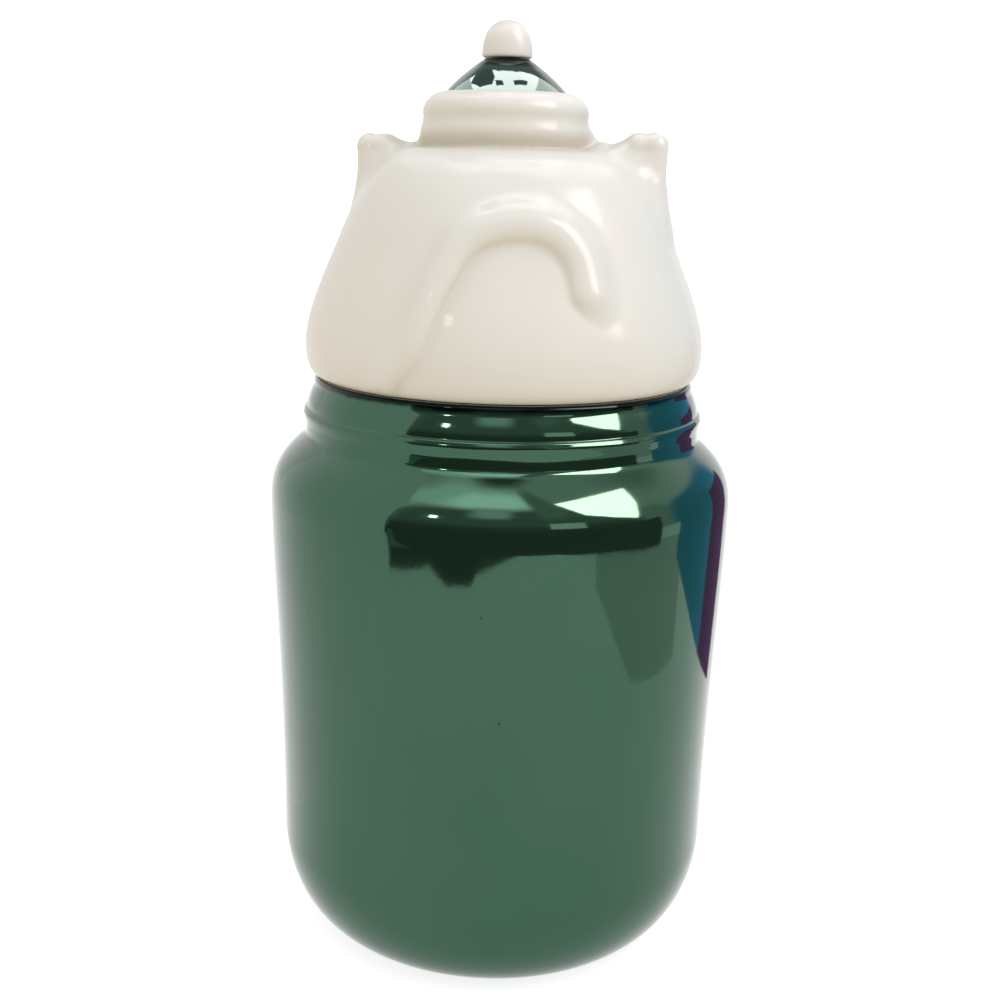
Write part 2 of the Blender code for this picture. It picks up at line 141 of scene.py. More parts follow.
# Lid, in millimetres
BELLY_R = 50.1
BELLY_RISE = 7.7
CHEEK_R = 41.4
CHEEK_RISE = 34.5
HEAD_TOP_R = 20.6
HEAD_TOP_RISE = 55.7
LID_EDGE_R = BORE_R + 3.0
LID_EDGE_ROUND = 2.6
LID_WALL = 4.5
PLUG_CLEARANCE = 2.5
PLUG_R = BORE_R - PLUG_CLEARANCE
PLUG_WALL = 3.5
GROOVE_DEPTH = 1.5
GROOVE_LIFT = 2.0
GROOVE_WIDTH = 5.0
CHAMFER = 0.6
TOP_ROLL_R = 20.4
TOP_ROLL_DROP = 4.4
WAIST_R = 20.3
WAIST_DROP = 6.0
BRIM_R = 21.0
BRIM_DROP = 9.6
HAT_SHIFT = -0.8
SPRING_DROP = 0.5
BOSS_R = 5.9
SPIGOT_R = 2.5
BAND_PROUD = 0.6
LIP_HEIGHT = 1.8
LIP_REACH = 0.42

# Handles of the lid's curves, as shares of the height or width that the curve spans
DOME_TOP_HANDLE = 0.543
DOME_FOOT_HANDLE = (0.155, 0.377)
CHEEK_HANDLE = (0.14, 0.34)
BELLY_HANDLE = 0.29
BELLY_FOOT_HANDLE = 0.45
ROLL_HANDLE = 0.4
CROWN_TOP_HANDLE = (0.33, 0.26)
CROWN_FOOT_HANDLE = (0.27, 0.395)
POMPOM_TOP_HANDLE = 0.72
POMPOM_FOOT_HANDLE = (0.99, 0.58)

# Tail in relief: distance to the right before the turn, height above the lid's rest, radius, how proud
TAIL_ROUTE = [
    (-25.5, 3.6, 2.8, 0.9),
    (-20.6, 11.1, 3.1, 2.0),
    (-14.6, 25.0, 3.4, 2.7),
    (-8.3, 34.8, 3.9, 2.7),
    (1.0, 38.3, 4.5, 2.9),
    (10.0, 37.2, 4.7, 2.9),
    (16.2, 31.5, 4.8, 2.8),
    (18.6, 23.6, 4.8, 2.6),
]
TAIL_TURN = math.radians(12.0)

# Width of the tail's fillet on the outside and the inside of its arch, how many radii the change between them
# takes, and how far and how sharply each stretch of the tail decides it
TAIL_SOFT = 5.0
TAIL_CRISP = 0.6
TAIL_SPAN = 2.4
TAIL_REACH = 60.0
TAIL_FOCUS = 1.5

# Ears: round cones between corners of the ear, each corner given by its place and radius
EAR_TIP = ((35.9, 1.0, 55.7), 3.3)
EAR_CREST = ((32.0, 1.0, 55.4), 3.5)
EAR_OUTER_FOOT = ((34.2, 1.0, 37.0), 4.6)
EAR_MIDDLE_FOOT = ((30.6, 1.0, 44.0), 6.4)
EAR_INNER_FOOT = ((26.6, 1.0, 50.6), 4.4)
EAR_ROOT = ((23.2, 1.0, 52.2), 3.5)
EAR_CONES = [
    (EAR_TIP, EAR_CREST),
    (EAR_TIP, EAR_OUTER_FOOT),
    (EAR_TIP, EAR_MIDDLE_FOOT),
    (EAR_CREST, EAR_MIDDLE_FOOT),
    (EAR_CREST, EAR_INNER_FOOT),
    (EAR_INNER_FOOT, EAR_ROOT),
]
EAR_BLEND = 0.4
EAR_FILLET = 7.0
RIGHT_EAR_LIFT = 1.2

# Where the lid's field is worked out. An ear starts so far out and so high, and ends so far fore and aft
EAR_REGION = (12.0, 28.0, 26.0)
FACE_REGION = 20.0
BLEND_REACH = 12.0
SHIFT_HEIGHT = 8.0
FLAT_MARGIN = 0.2
LID_REACH = 54.0
PAW_REACH = 2.0
FIELD_MARGIN = 1.5
TABLE_LOW = (-1.0, PLUG_BOTTOM - 8.0)
TABLE_HIGH = (60.0, BRIM_TOP + 12.0)

# Face and paws: (across, height above the lid's rest), half sizes, how proud and how soft the joint
MUZZLE = ((4.6, 28.0), (6.4, 5.0, 4.8), 2.2, 2.2)
NOSE = ((0.0, 32.4), (2.4, 2.4, 1.7), 2.3, 0.6)
PAW = ((13.0, 7.4), (8.6, 6.8, 6.6), 3.6, 2.6)

# Painted face: closed eyes, and whiskers by where they start, how high, how long and how steep they are
EYE_ACROSS = 13.5
EYE_RISE = 37.0
EYE_R = 4.6
EYE_STROKE = 0.75
EYE_LOWER = (-0.3, -0.2)
WHISKERS = ((11.0, 30.0, 8.5, 0.16), (11.4, 27.4, 9.0, -0.02), (11.0, 24.9, 8.5, -0.20))
WHISKER_STROKE = 0.38
WHISKER_END = 0.3
FACE_DEPTH = 10.0

# Glaze, clay and seal colours, and the colours of painted shade
JAR_GREEN = (0.050, 0.112, 0.072)
JAR_DEEP = (0.042, 0.100, 0.064)
CROWN_GREEN = (0.100, 0.150, 0.127)
CROWN_DEEP = (0.088, 0.136, 0.114)
PINHOLE = (0.006, 0.012, 0.009)
PAINTED_SHADE_GREEN = (0.004, 0.012, 0.009)
WHITE = (0.797, 0.79, 0.745)
WARM_WHITE = (0.783, 0.770, 0.715)
PAINTED_CREASE_SHADE = (0.58, 0.53, 0.43)
SPECK = (0.45, 0.40, 0.33)
PAINT = (0.018, 0.022, 0.018)
CLAY = ((0.62, 0.56, 0.47), (0.74, 0.69, 0.60))
SOFT_RING = ((0.66, 0.66, 0.64), (0.73, 0.73, 0.71))

# Heights between which the green glaze darkens to a painted shade band: on the jar just under the lid's edge,
# on the crown just under the pompom
JAR_SHADE_BAND = (RIM_TOP - 1.0, RIM_TOP - 0.2)
CROWN_SHADE_BAND = (BOSS_TOP - 1.6, BOSS_TOP - 0.9)
SHADE_BAND_RAGGED = 1.4

# Fineness
FACETS = 192
CROWN_FACETS = 128
POMPOM_FACETS = 96
GASKET_FACETS = 144
FIELD_STEP = 0.58
SECTION_STEP = 0.25
SETTLE_ROUNDS = 3
SETTLE_REACH = 0.25
SLOPE_STEP = 0.1
FLATTEST_SLOPE = 0.2
SHARP_ANGLE = math.radians(50)
ON_AXIS = 1e-6


def bezier(start, first, second, end, steps):
    """Points along a cubic curve, after its start."""
    t = np.arange(1, steps + 1)[:, None] / steps
    u = 1.0 - t
    a, b, c, d = (np.array(corner, float) for corner in (start, first, second, end))
    curve = u ** 3 * a + 3 * u * u * t * b + 3 * u * t * t * c + t ** 3 * d
    return [tuple(point) for point in curve]


def arc(centre, radii, start, end, steps):
    """Points along an ellipse between two angles in degrees, both ends included."""
    angles = np.radians(np.linspace(start, end, steps + 1))
    return [(centre[0] + radii[0] * math.cos(a), centre[1] + radii[1] * math.sin(a)) for a in angles]


def jar_inside():
    """The jar's hollow, from the middle of its floor up to the mouth."""
    wall_r = BODY_R - WALL
    shoulder_r = SHOULDER_R - WALL
    side = SHOULDER_HEIGHT - CORNER_HEIGHT
    throat = NECK_HEIGHT - WALL * 0.8
    widest = SHOULDER_HEIGHT - WALL * 0.3
    rise = throat - SHOULDER_HEIGHT
    points = [(0.0, FLOOR_TOP), (FOOT_R / 2, FLOOR_TOP)]
    points += arc((FOOT_R, CORNER_HEIGHT), (wall_r - FOOT_R, CORNER_HEIGHT - FLOOR_TOP), -90, 0, steps=14)
    points += bezier(
        (wall_r, CORNER_HEIGHT),
        (wall_r, CORNER_HEIGHT + side * BODY_HANDLE),
        (shoulder_r, SHOULDER_HEIGHT - side * SIDE_HANDLE),
        (shoulder_r, widest),
        steps=14,
    )
    points += bezier(
        (shoulder_r, widest),
        (shoulder_r, SHOULDER_HEIGHT + rise * BODY_HANDLE),
        (BORE_R, throat - rise * THROAT_HANDLE),
        (BORE_R, throat),
        steps=14,
    )
    points += [(BORE_R, (throat + RIM_TOP) / 2)]
    points += arc((BORE_R + RIM_ROUND, RIM_TOP - RIM_ROUND), (RIM_ROUND, RIM_ROUND), 180, 90, steps=6)
    return points


def jar_outside():
    """The jar's glazed outside: rim, sloping neck with its ridge and bead, shoulder, side and foot."""
    side = SHOULDER_HEIGHT - CORNER_HEIGHT
    rise = NECK_HEIGHT - SHOULDER_HEIGHT
    rim_middle = (RIM_R + NECK_START[0] - RIM_ROUND, RIM_TOP - RIM_ROUND)
    points = arc(rim_middle, (RIM_ROUND, RIM_ROUND), 90, 0, steps=10)
    start = NECK_START
    for curve in NECK_CURVES:
        points += bezier(*((RIM_R + out, RIM_TOP + over) for out, over in (start, *curve)), steps=9)
        start = curve[-1]
    curl = [(NECK_R + out, NECK_HEIGHT + over) for out, over in NECK_CURL]
    points += bezier(*curl, steps=9)
    lean, lift = SHOULDER_TOP_HANDLE
    points += bezier(
        curl[-1],
        (SHOULDER_R - (SHOULDER_R - NECK_R) * lean, SHOULDER_HEIGHT + rise * lift),
        (SHOULDER_R, SHOULDER_HEIGHT + rise * SHOULDER_HANDLE),
        (SHOULDER_R, SHOULDER_HEIGHT),
        steps=34,
    )
    points += bezier(
        (SHOULDER_R, SHOULDER_HEIGHT),
        (SHOULDER_R, SHOULDER_HEIGHT - side * SIDE_HANDLE),
        (BODY_R, CORNER_HEIGHT + side * BODY_HANDLE),
        (BODY_R, CORNER_HEIGHT),
        steps=36,
    )
    corner_r = FOOT_R + 1.0
    points += arc((corner_r, CORNER_HEIGHT), (BODY_R - corner_r, CORNER_HEIGHT - 0.5), 0, -90, steps=30)[1:]
    points += [(FOOT_R + 0.2, 0.15)]
    return points


def jar_foot():
    """The unglazed ring that the jar stands on."""
    ring_r = FOOT_R - FOOT_WIDTH
    return [(FOOT_R - FOOT_EDGE, 0.0), (ring_r + FOOT_EDGE, 0.0), (ring_r - 0.1, 0.2)]


def jar_underside():
    """The glazed hollow inside the foot ring."""
    slope_r = FOOT_R - FOOT_WIDTH - FOOT_HOLLOW
    return [(slope_r, FOOT_HOLLOW - 0.2), (slope_r - 1.0, FOOT_HOLLOW), (0.0, FOOT_HOLLOW)]


def cheek_to_belly(cheek, belly, steps):
    """The head's side, from its cheek down to its belly."""
    side = cheek[1] - belly[1]
    under_cheek = (cheek[0] + side * CHEEK_HANDLE[0], cheek[1] - side * CHEEK_HANDLE[1])
    return bezier(cheek, under_cheek, (belly[0], belly[1] + side * BELLY_HANDLE), belly, steps)


def head_outside():
    """The lid's figure, from the foot of the brim down to the flat that rests on the rim."""
    top = (HEAD_TOP_R, LID_REST + HEAD_TOP_RISE)
    cheek = (CHEEK_R, LID_REST + CHEEK_RISE)
    belly = (BELLY_R, LID_REST + BELLY_RISE)
    dome = top[1] - cheek[1]
    points = bezier(
        top,
        (top[0] + (cheek[0] - top[0]) * DOME_TOP_HANDLE, top[1]),
        (cheek[0] - dome * DOME_FOOT_HANDLE[0], cheek[1] + dome * DOME_FOOT_HANDLE[1]),
        cheek,
        steps=28,
    )
    points += cheek_to_belly(cheek, belly, steps=24)
    points += bezier(
        belly,
        (belly[0], LID_REST + BELLY_RISE * BELLY_FOOT_HANDLE),
        (LID_EDGE_R + LID_EDGE_ROUND, LID_REST + 0.3),
        (LID_EDGE_R, LID_REST),
        steps=12,
    )
    return points


def brim_outside():
    """The brim's two rolls, from the crown's socket down to the crease on the head."""
    socket_r = CROWN_R + GAP
    top_roll = (TOP_ROLL_R, BRIM_TOP - TOP_ROLL_DROP)
    waist = (WAIST_R, BRIM_TOP - WAIST_DROP)
    roll = (BRIM_R, BRIM_TOP - BRIM_DROP)
    crease = (HEAD_TOP_R, LID_REST + HEAD_TOP_RISE)
    socket_edge = (socket_r, BRIM_TOP - 0.4)
    inner_edge = (socket_r + 0.8, BRIM_TOP - 0.05)
    points = [socket_edge]
    points += bezier(
        socket_edge,
        (socket_r + 0.1, BRIM_TOP + 0.1),
        (socket_r + 0.5, BRIM_TOP),
        inner_edge,
        steps=5,
    )
    points += bezier(
        inner_edge,
        (socket_r + 2.4, BRIM_TOP - 0.25),
        (TOP_ROLL_R, top_roll[1] + TOP_ROLL_DROP * 0.45),
        top_roll,
        steps=16,
    )
    for start, end in ((top_roll, waist), (waist, roll), (roll, crease)):
        handle = (start[1] - end[1]) * ROLL_HANDLE
        points += bezier(start, (start[0], start[1] - handle), (end[0], end[1] + handle), end, steps=9)
    return points


def lid_section():
    """The lid as a solid: crown socket, brim, head, flat and plug."""
    socket_r = CROWN_R + GAP
    floor = CROWN_FOOT - GAP
    groove_bottom = PLUG_BOTTOM + GROOVE_LIFT
    groove_top = groove_bottom + GROOVE_WIDTH
    groove_r = PLUG_R - GROOVE_DEPTH
    plug = [
        (PLUG_R, LID_REST),
        (PLUG_R, groove_top),
        (groove_r, groove_top),
        (groove_r, groove_bottom),
        (PLUG_R, groove_bottom),
        (PLUG_R, PLUG_BOTTOM + CHAMFER),
        (PLUG_R - CHAMFER, PLUG_BOTTOM),
        (0.0, PLUG_BOTTOM),
    ]
    return [(0.0, floor), (socket_r, floor)] + brim_outside() + head_outside() + plug


def lid_hollow_section():
    """The lid's hollow: the head's outline a wall's thickness in, and the plug's bore."""
    bore_r = PLUG_R - PLUG_WALL
    roof = CROWN_FOOT - GAP - LID_WALL
    top_r = CROWN_R + GAP - LID_WALL * 0.5
    cheek = (CHEEK_R - LID_WALL, LID_REST + CHEEK_RISE - LID_WALL * 0.4)
    belly = (BELLY_R - LID_WALL, LID_REST + BELLY_RISE + LID_WALL * 0.4)
    dome = roof - cheek[1]
    below = PLUG_BOTTOM - LID_WALL
    flat_end = (top_r * 0.7, roof)
    points = [(0.0, roof), flat_end]
    points += bezier(
        flat_end,
        (top_r * 1.15, roof),
        (cheek[0] - dome * 0.3, cheek[1] + dome * 0.32),
        cheek,
        steps=16,
    )
    points += cheek_to_belly(cheek, belly, steps=12)
    points += bezier(
        belly,
        (belly[0], LID_REST + LID_WALL * 1.2),
        (bore_r + LID_WALL * 0.6, LID_REST + LID_WALL),
        (bore_r, LID_REST + LID_WALL * 0.5),
        steps=12,
    )
    return points + [(bore_r, below), (0.0, below)]


def crown_section():
    """The hat's crown: socket, collar, slope and straight foot."""
    spring = BRIM_TOP - SPRING_DROP
    socket_r = SPIGOT_R + GAP
    start_r = BOSS_R + 0.4
    slope_top = BOSS_TOP - 0.4
    rise = slope_top - spring
    width = CROWN_R - start_r
    socket_floor = SPIGOT_END - GAP
    collar = (BOSS_R - 0.3, BOSS_TOP)
    points = [(0.0, socket_floor), (socket_r, socket_floor), (socket_r, BOSS_TOP), collar]
    points += bezier(
        collar,
        (BOSS_R, BOSS_TOP),
        (BOSS_R, slope_top + 0.2),
        (start_r, slope_top),
        steps=7,
    )
    points += bezier(
        (start_r, slope_top),
        (start_r + width * CROWN_TOP_HANDLE[0], slope_top - rise * CROWN_TOP_HANDLE[1]),
        (CROWN_R - width * CROWN_FOOT_HANDLE[0], spring + rise * CROWN_FOOT_HANDLE[1]),
        (CROWN_R, spring),
        steps=24,
    )
    points += [(CROWN_R, CROWN_FOOT + CHAMFER), (CROWN_R - CHAMFER, CROWN_FOOT), (0.0, CROWN_FOOT)]
    return points


def pompom_section():
    """The pompom: a blunt bullet, its flat underside and its spigot."""
    seat = BOSS_TOP + GAP
    height = POMPOM_TOP - seat
    edge = (POMPOM_R, seat + 0.8)
    points = [(0.0, POMPOM_TOP)]
    points += bezier(
        (0.0, POMPOM_TOP),
        (POMPOM_R * POMPOM_TOP_HANDLE, POMPOM_TOP),
        (POMPOM_R * POMPOM_FOOT_HANDLE[0], seat + height * POMPOM_FOOT_HANDLE[1]),
        edge,
        steps=24,
    )
    points += bezier(edge, (POMPOM_R, seat + 0.3), (POMPOM_R - 0.3, seat), (POMPOM_R - 0.9, seat), steps=5)
    tip = [(SPIGOT_R, SPIGOT_END + 0.3), (SPIGOT_R - 0.3, SPIGOT_END), (0.0, SPIGOT_END)]
    return points + [(SPIGOT_R, seat)] + tip


def gasket_section():
    """The gasket's closed section: a band in the groove and two lips that reach for the bore."""
    bottom, top = GASKET_LOW[2], GASKET_HIGH[2]
    inner_r = PLUG_R - GROOVE_DEPTH + GAP
    band_r = PLUG_R + BAND_PROUD
    points = [(inner_r, bottom), (inner_r, top), (band_r, top)]
    for crest in (top - LIP_HEIGHT / 2, bottom + LIP_HEIGHT / 2):
        points += arc((band_r, crest), (LIP_R - band_r, LIP_HEIGHT * LIP_REACH), 80, -80, steps=10)
    return points + [(band_r, bottom)]


def new_object(name, verts, faces, material_index=None):
    """An object from points in millimetres, shaded smooth."""
    mesh = bpy.data.meshes.new(name)
    mesh.from_pydata((np.asarray(verts, float) * MM).tolist(), [], faces)
    if material_index is not None:
        mesh.polygons.foreach_set("material_index", material_index)
    mesh.validate()
    mesh.shade_smooth()
    obj = bpy.data.objects.new(name, mesh)
    bpy.context.scene.collection.objects.link(obj)
    return obj


def turned(name, outline, facets=FACETS, closed=False, slots=None, sway=None):
    """A turned mesh from an outline that runs down its outer side, with its sharp corners kept.

    slots gives each stretch's material, and sway how far a point strays outward.
    """
    verts = []
    rings = []
    for radius, height in outline:
        if radius < ON_AXIS:
            rings.append([len(verts)])
            verts.append((0.0, 0.0, height))
            continue
        rings.append(list(range(len(verts), len(verts) + facets)))
        for facet in range(facets):
            angle = math.tau * facet / facets
            out = radius + (sway(angle, height) if sway else 0.0)
            verts.append((out * math.cos(angle), out * math.sin(angle), height))
    faces = []
    materials = []
    spans = list(zip(rings, rings[1:]))
    if closed:
        spans.append((rings[-1], rings[0]))
    for index, (upper, lower) in enumerate(spans):
        for facet in range(facets):
            onward = (facet + 1) % facets
            corners = [upper[facet % len(upper)], lower[facet % len(lower)]]
            corners += [lower[onward % len(lower)], upper[onward % len(upper)]]
            faces.append(tuple(dict.fromkeys(corners)))
            materials.append(slots[index] if slots else 0)
    obj = new_object(name, verts, faces, materials)
    obj.data.set_sharp_from_angle(angle=SHARP_ANGLE)
    return obj


def section_distance(outline, spacing, low, high):
    """A table of signed distances, negative inside, from a grid of (radius, height) to an outline."""
    radii = np.arange(low[0], high[0], spacing)
    heights = np.arange(low[1], high[1], spacing)
    r, z = np.meshgrid(radii, heights, indexing="ij")
    nearest = np.full(r.shape, np.inf)
    inside = np.zeros(r.shape, bool)
    corners = np.array(outline, float)
    for (r0, z0), (r1, z1) in zip(corners, np.roll(corners, -1, axis=0)):
        length = (r1 - r0) ** 2 + (z1 - z0) ** 2
        if length == 0.0:
            continue
        crosses = (z0 > z) != (z1 > z)
        if z1 != z0:
            inside ^= crosses & (r < (r1 - r0) * (z - z0) / (z1 - z0) + r0)
        if r0 < ON_AXIS and r1 < ON_AXIS:
            continue
        t = np.clip(((r - r0) * (r1 - r0) + (z - z0) * (z1 - z0)) / length, 0.0, 1.0)
        nearest = np.minimum(nearest, np.hypot(r - r0 - t * (r1 - r0), z - z0 - t * (z1 - z0)))
    return np.where(inside, -nearest, nearest)


class TurnedField:
    """The signed distance to a turned outline, read from a table."""

    def __init__(self, outline):
        self.table = section_distance(outline, SECTION_STEP, TABLE_LOW, TABLE_HIGH)

    def __call__(self, p):
        r = (np.hypot(p[..., 0], p[..., 1]) - TABLE_LOW[0]) / SECTION_STEP
        z = (p[..., 2] - TABLE_LOW[1]) / SECTION_STEP
        r = np.clip(r, 0, self.table.shape[0] - 1.001)
        z = np.clip(z, 0, self.table.shape[1] - 1.001)
        i, j = r.astype(int), z.astype(int)
        a, b = r - i, z - j
        table = self.table
        low = table[i, j] * (1 - a) + table[i + 1, j] * a
        high = table[i, j + 1] * (1 - a) + table[i + 1, j + 1] * a
        return low * (1 - b) + high * b


def blend_in(distance, other, soft):
    """The union of two distances with a fillet about so wide."""
    h = np.clip(0.5 + 0.5 * (distance - other) / soft, 0.0, 1.0)
    return distance * (1 - h) + other * h - soft * h * (1 - h)


def head_radius(rise):
    """The head's outside radius at a height above the lid's rest."""
    outline = np.array(head_outside())[::-1]
    return float(np.interp(LID_REST + rise, outline[:, 1], outline[:, 0]))


def on_head(across, rise, depth, facing, swing=0.0):
    """A point so deep under the head's surface, on its front (facing 1) or its back (-1)."""
    radius = head_radius(rise)
    turn = math.asin(across / radius) + swing
    radius -= depth
    return np.array([radius * math.sin(turn), facing * radius * math.cos(turn), LID_REST + rise])


def tail_line(steps=8):
    """The tail's centre line and radii, on a smooth curve through its route."""
    route = [TAIL_ROUTE[0]] + TAIL_ROUTE + [TAIL_ROUTE[-1]]
    places, radii = [], []
    for index in range(1, len(route) - 2):
        a, b, c, d = (np.array(route[index + offset]) for offset in (-1, 0, 1, 2))
        for step in range(steps + (index == len(route) - 3)):
            t = step / steps
            slope = (c - a) * t + (2 * a - 5 * b + 4 * c - d) * t * t + (3 * b - a - 3 * c + d) * t ** 3
            across, rise, radius, proud = b + slope / 2
            places.append(on_head(across, rise, radius - proud, -1, TAIL_TURN))
            radii.append(radius)
    return np.array(places), np.array(radii)


def tail_field(p):
    """The distance to the tail, and how wide its fillet is: soft on its outer side and crisp inside."""
    places, radii = tail_line()
    nearest = np.full(p.shape[:-1], np.inf)
    weight = np.zeros(p.shape[:-1])
    soft = np.zeros(p.shape[:-1])
    for start, end, r0, r1 in zip(places, places[1:], radii, radii[1:]):
        along = end - start
        t = np.clip((p - start) @ along / (along @ along), 0.0, 1.0)
        off = p - start - t[..., None] * along
        distance = np.linalg.norm(off, axis=-1) - (r0 + (r1 - r0) * t)
        outward = np.cross((start[0], start[1], 0.0), along)
        outward /= np.linalg.norm(outward)
        side = np.clip(0.5 + (off @ outward) / (TAIL_SPAN * r0), 0.0, 1.0)
        share = np.exp(-np.clip(distance + r0, 0.0, TAIL_REACH) * TAIL_FOCUS)
        soft += share * (TAIL_CRISP + (TAIL_SOFT - TAIL_CRISP) * side * side * (3 - 2 * side))
        weight += share
        nearest = np.minimum(nearest, distance)
    return nearest, soft / np.maximum(weight, 1e-30)


def round_cone(p, start, end, r0, r1):
    """Roughly the distance to a cone with round ends."""
    along = end - start
    t = np.clip((p - start) @ along / (along @ along), 0.0, 1.0)
    return np.linalg.norm(p - start - t[..., None] * along, axis=-1) - (r0 + (r1 - r0) * t)


def ear_field(p, side):
    """The distance to an ear on the left (-1) or right (1)."""
    rest = np.array([0.0, 0.0, LID_REST + (RIGHT_EAR_LIFT if side > 0 else 0.0)])
    mirrored = p * np.array([side, 1.0, 1.0])
    distance = None
    for (start, start_r), (end, end_r) in EAR_CONES:
        cone = round_cone(mirrored, np.array(start) + rest, np.array(end) + rest, start_r, end_r)
        distance = cone if distance is None else blend_in(distance, cone, EAR_BLEND)
    return distance


def hat_share(height):
    """How much of the hat's shift there is at a height: none on the cheeks, all of it from the crease up."""
    share = np.clip((height - LID_REST - HEAD_TOP_RISE) / SHIFT_HEIGHT + 1.0, 0.0, 1.0)
    return share * share * (3 - 2 * share)


def ball_field(p, centre, half):
    """Roughly the distance to an ellipsoid."""
    scaled = np.linalg.norm((p - centre) / half, axis=-1)
    steep = np.linalg.norm((p - centre) / np.square(half), axis=-1)
    return scaled * (scaled - 1.0) / np.maximum(steep, 1e-6)


def lid_field_maker():
    """The lid's signed distance: figure, ears, tail, face and paws, less the hollow."""
    figure = TurnedField(lid_section())
    hollow = TurnedField(lid_hollow_section())
    ear_out, ear_rise, ear_deep = EAR_REGION

    def field(p):
        shifted = p.copy()
        shifted[..., 0] -= HAT_SHIFT * hat_share(p[..., 2])
        distance = figure(shifted)
        band = np.abs(distance) < BLEND_REACH
        back = band & (p[..., 1] < 0)
        if back.any():
            distance[back] = blend_in(distance[back], *tail_field(p[back]))
        for side in (-1, 1):
            high = p[..., 2] > LID_REST + ear_rise
            near = (p[..., 0] * side > ear_out) & high & (np.abs(p[..., 1]) < ear_deep)
            distance[near] = blend_in(distance[near], ear_field(p[near], side), EAR_FILLET)
        front = band & (p[..., 1] > FACE_REGION)
        if front.any():
            face = p[front]
            merged = distance[front]
            for (across, rise), half, proud, soft in (PAW, MUZZLE, NOSE):
                for side in (-1, 1) if across else (1,):
                    centre = on_head(across, rise, half[1] - proud, 1) * (side, 1, 1)
                    merged = blend_in(merged, ball_field(face, centre, np.array(half)), soft)
            distance[front] = merged
        floor_of_lid = LID_REST - p[..., 2]
        outside_plug = np.hypot(p[..., 0], p[..., 1]) > PLUG_R + FLAT_MARGIN
        distance = np.where(outside_plug, np.maximum(distance, floor_of_lid), distance)
        return np.maximum(distance, -hollow(p))

    return field


def sample(field, axes):
    """The field's value at every point of a grid, worked out level by level."""
    values = np.empty(tuple(len(axis) for axis in axes), np.float32)
    plane = np.stack(np.meshgrid(axes[0], axes[1], indexing="ij"), axis=-1)
    for level, height in enumerate(axes[2]):
        points = np.concatenate([plane, np.full(plane.shape[:-1] + (1,), height)], axis=-1)
        values[:, :, level] = field(points)
    return values


def crossed_cells(values):
    """The grid's cells that the surface passes through, and the place in each where its edges are crossed."""
    inside = values < 0
    cells = tuple(size - 1 for size in values.shape)
    count = np.zeros(cells, np.int16)
    total = np.zeros(cells + (3,), np.float32)
    for axis in range(3):
        others = [other for other in range(3) if other != axis]
        for da in (0, 1):
            for db in (0, 1):
                shift = [0, 0, 0]
                shift[others[0]], shift[others[1]] = da, db
                start = tuple(slice(s, s + size) for s, size in zip(shift, cells))
                shift[axis] += 1
                end = tuple(slice(s, s + size) for s, size in zip(shift, cells))
                crossed = inside[start] != inside[end]
                v0, v1 = values[start], values[end]
                t = np.where(crossed, v0 / np.where(crossed, v0 - v1, 1.0), 0.0)
                count += crossed
                total[..., axis] += t
                total[..., others[0]] += crossed * da
                total[..., others[1]] += crossed * db
    used = count > 0
    return used, np.argwhere(used) + total[used] / count[used][:, None]


def cell_quads(inside, number):
    """A quad round each grid edge that leaves or enters the solid, by the numbers of the four cells there."""
    quads = []
    for axis in range(3):
        b, c = (axis + 1) % 3, (axis + 2) % 3
        first = [slice(1, size - 1) for size in inside.shape]
        first[axis] = slice(0, inside.shape[axis] - 1)
        second = list(first)
        second[axis] = slice(1, inside.shape[axis])
        leaving = inside[tuple(first)] & ~inside[tuple(second)]
        entering = ~inside[tuple(first)] & inside[tuple(second)]
        for mask, flipped in ((leaving, False), (entering, True)):
            at = np.argwhere(mask)
            at[:, b] += 1
            at[:, c] += 1
            ring = []
            for db, dc in ((0, 0), (-1, 0), (-1, -1), (0, -1)):
                cell = at.copy()
                cell[:, b] += db
                cell[:, c] += dc
                ring.append(number[cell[:, 0], cell[:, 1], cell[:, 2]])
            quads.append(np.stack(ring[::-1] if flipped else ring, axis=1))
    return np.concatenate(quads)


def surface_net(field, low, high, step):
    """A closed quad mesh on a field's zero surface, with each corner then moved onto it."""
    values = sample(field, [np.arange(lo, hi + step, step) for lo, hi in zip(low, high)])
    used, corners = crossed_cells(values)
    number = np.full(used.shape, -1, np.int64)
    number[used] = np.arange(len(corners))
    verts = corners * step + np.array(low)
    for _ in range(SETTLE_ROUNDS):
        verts = settle(field, verts, step * SETTLE_REACH)
    return verts, [tuple(face) for face in cell_quads(values < 0, number).tolist()]


def settle(field, verts, reach):
    """Move points onto the field's zero surface, by no more than a short reach."""
    value = field(verts.copy())
    slope = np.empty_like(verts)
    for axis in range(3):
        shift = np.zeros(3)
        shift[axis] = SLOPE_STEP
        slope[:, axis] = (field(verts + shift) - field(verts - shift)) / (2 * SLOPE_STEP)
    size = np.maximum((slope ** 2).sum(axis=1), FLATTEST_SLOPE)
    move = -(value / size)[:, None] * slope
    length = np.linalg.norm(move, axis=1, keepdims=True)
    return verts + move * np.minimum(1.0, reach / np.maximum(length, 1e-9))


